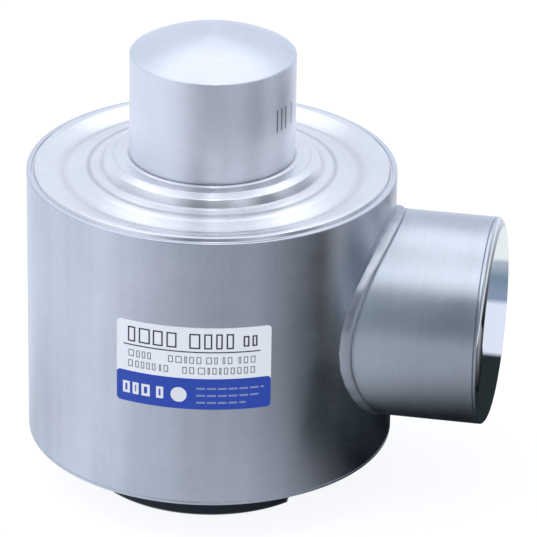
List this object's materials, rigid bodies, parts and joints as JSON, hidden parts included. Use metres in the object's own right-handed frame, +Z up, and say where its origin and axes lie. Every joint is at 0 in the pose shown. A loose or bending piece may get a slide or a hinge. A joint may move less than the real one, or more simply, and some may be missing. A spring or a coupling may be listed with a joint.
{
  "type": "compression load cell",
  "caption": "Compression load cell with a domed load button, a welded round steel housing closed by a corrugated diaphragm, a side chamber for its wiring and a cable gland.",
  "frame": {"origin": "centre of the foot's flat lower face, on the column's axis", "axes": "+Z up along the column to the load button; +X along the connection chamber, away from the housing; +Y along the cable gland, away from the chamber"},
  "size_m": [0.1313, 0.1021, 0.1302],
  "materials": {
    "turned_steel": "fine turned",
    "housing_steel": "brushed",
    "weld_steel": "bright weld bead",
    "polished_steel": "polished",
    "nickel": "nickel plated",
    "copper": "tinned copper",
    "board_laminate": "satin",
    "gauge_film": "film",
    "lead_insulation": "satin",
    "sealing_glass": "fused",
    "black_rubber": "matt",
    "label_film": "printed film"
  },
  "bodies": {
    "root": {"spring_element": "turned_steel", "top_diaphragm": "housing_steel", "housing_shell": "housing_steel", "bottom_plate": "housing_steel", "fill_plug": "turned_steel", "strain_gauge_1": "gauge_film", "strain_gauge_2": "gauge_film", "strain_gauge_3": "gauge_film", "strain_gauge_4": "gauge_film", "gauge_leads": "copper", "bridge_board": "board_laminate", "board_spacers": "nickel", "bridge_leads": "lead_insulation", "feedthrough_shell": "nickel", "feedthrough_glass": "sealing_glass", "feedthrough_pins": "copper", "chamber_tube": "housing_steel", "chamber_weld": "weld_steel", "end_cap": "polished_steel", "circuit_board": "board_laminate", "board_standoffs": "nickel", "board_screws": "nickel", "trim_resistors": "lead_insulation", "solder_posts": "copper", "gland_boss": "housing_steel", "gland_washer": "black_rubber", "gland_body": "nickel", "gland_seal": "black_rubber", "gland_nut": "nickel", "label": "label_film"}
  },
  "joints": []
}
